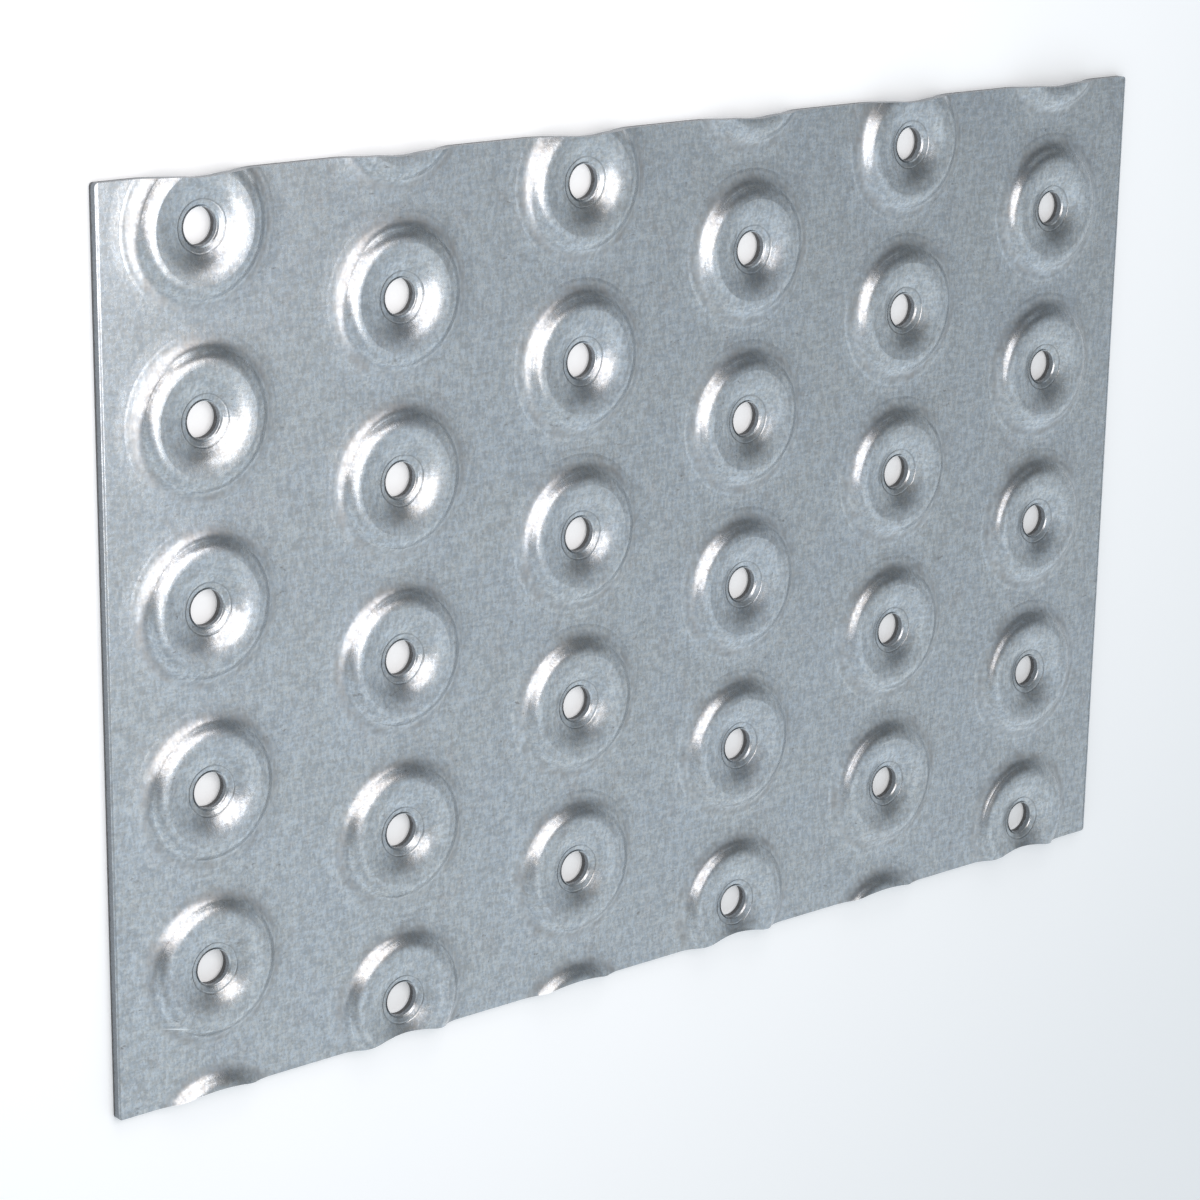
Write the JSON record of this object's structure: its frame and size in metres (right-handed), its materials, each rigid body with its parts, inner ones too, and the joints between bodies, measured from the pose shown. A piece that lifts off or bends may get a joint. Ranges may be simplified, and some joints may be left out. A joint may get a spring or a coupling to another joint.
{
  "type": "dimpled truss nail plate",
  "caption": "Flat galvanised steel plate with a staggered grid of raised, punched dimples, nailed across a timber joint to tie two members.",
  "frame": {"origin": "centre of the plate's flat back face", "axes": "+X along the plate's length, +Y across its width towards the edge with 6.4 mm to the first holes, +Z out of the raised side"},
  "size_m": [0.18, 0.12, 0.003],
  "materials": {
    "galvanised_sheet": "dull galvanised zinc with fine rolling lines, light soiling and small scratches"
  },
  "bodies": {
    "root": {"nail_plate": "galvanised_sheet"}
  },
  "joints": []
}
